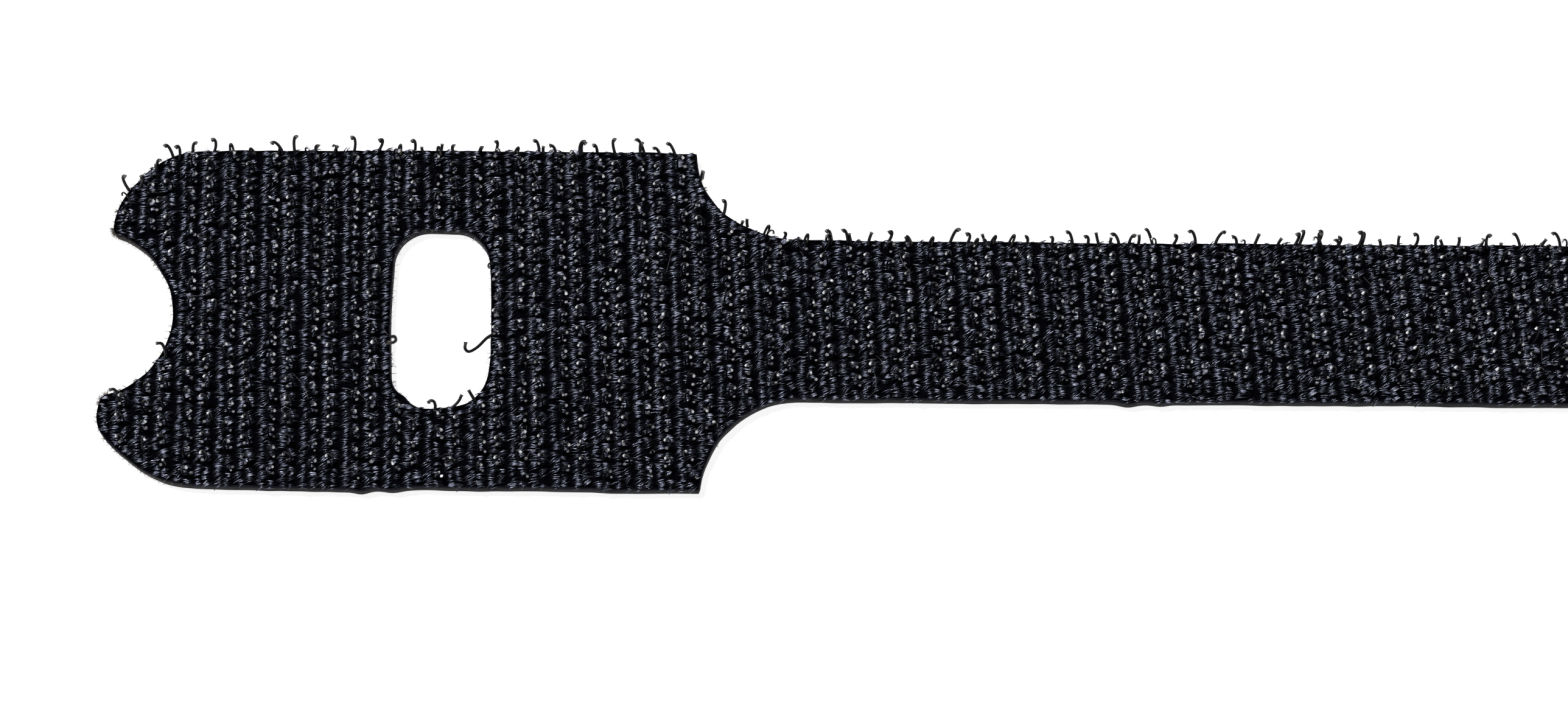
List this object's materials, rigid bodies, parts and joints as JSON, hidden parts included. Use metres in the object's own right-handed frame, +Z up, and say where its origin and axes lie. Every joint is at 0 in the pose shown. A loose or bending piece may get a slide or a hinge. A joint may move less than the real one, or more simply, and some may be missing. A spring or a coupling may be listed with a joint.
{
  "type": "hook and loop cable tie",
  "caption": "Flat fabric cable tie with a slotted, notched head and a narrow strap; woven hooks on top, brushed loops below.",
  "frame": {"origin": "middle of the tie, on the surface that its loop face lies on", "axes": "+X along the strap towards its round tail, +Y across the tie, +Z up out of the hook face"},
  "size_m": [0.2, 0.0254, 0.0026],
  "materials": {
    "hook_nylon": "black woven nylon with a glossy yarn and clear black monofilament hooks",
    "loop_nylon": "black brushed nylon loop pile, matt"
  },
  "bodies": {
    "root": {"hook_tape": "hook_nylon", "loop_tape": "loop_nylon"}
  },
  "joints": []
}
